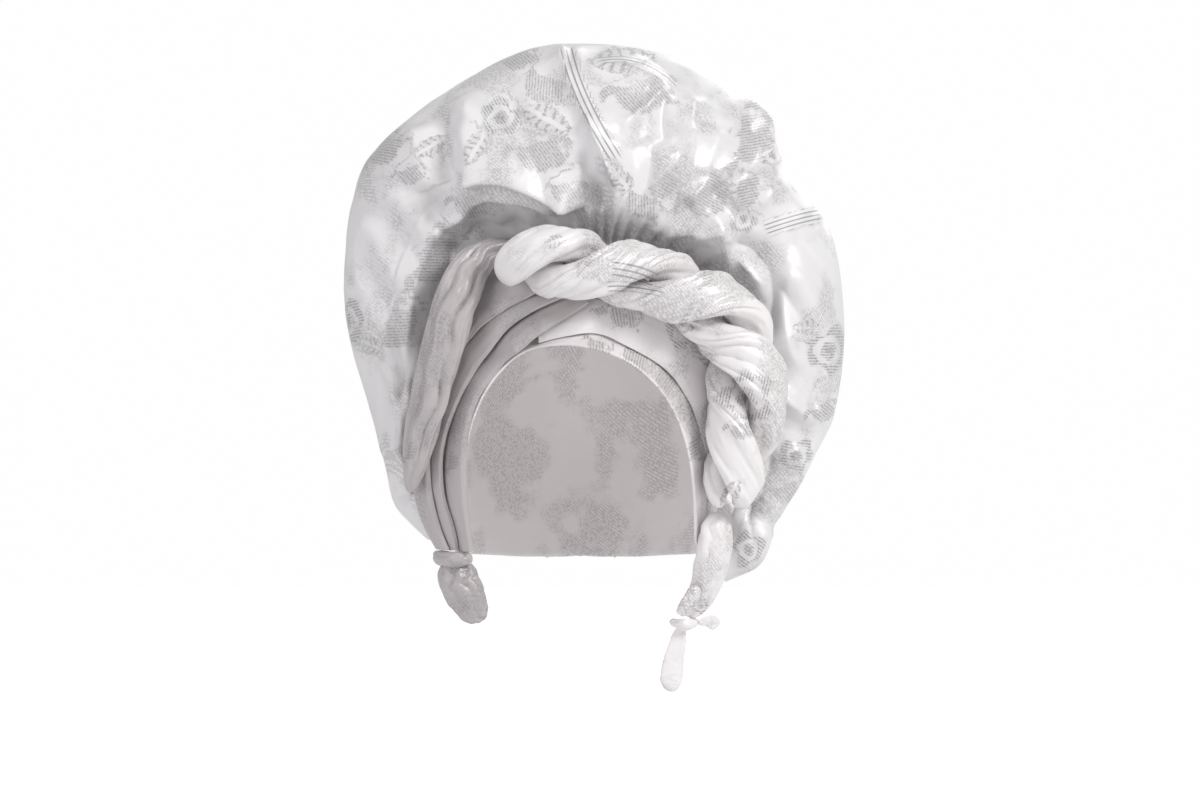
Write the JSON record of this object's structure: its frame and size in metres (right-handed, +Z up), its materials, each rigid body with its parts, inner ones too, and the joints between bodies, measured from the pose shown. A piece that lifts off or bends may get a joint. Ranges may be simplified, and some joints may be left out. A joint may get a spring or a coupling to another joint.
{
  "type": "tied gele head tie",
  "caption": "Tied gele: a stiff brocade cloth wrapped round the head, pleated and roped over the brow, fluffed into a tall fan, with knotted ends at the cheeks.",
  "frame": {"origin": "inner top of the hollow, where the crown of the head sits", "axes": "+Z up the worn head tie, the face opening looks to -Y, +X is the right side of the picture"},
  "size_m": [0.2857, 0.214, 0.3685],
  "materials": {
    "brocade_cloth": "satin"
  },
  "bodies": {
    "root": {"head_wrap": "brocade_cloth", "cross_band": "brocade_cloth", "pleat_inner": "brocade_cloth", "pleat_middle": "brocade_cloth", "pleat_outer": "brocade_cloth", "fan": "brocade_cloth", "side_roll": "brocade_cloth", "twist_strand_a": "brocade_cloth", "twist_strand_b": "brocade_cloth", "left_tie": "brocade_cloth", "left_bulb": "brocade_cloth", "cheek_roll": "brocade_cloth", "cheek_curl": "brocade_cloth", "tail_tie": "brocade_cloth", "tail": "brocade_cloth", "corner_tail": "brocade_cloth"}
  },
  "joints": []
}
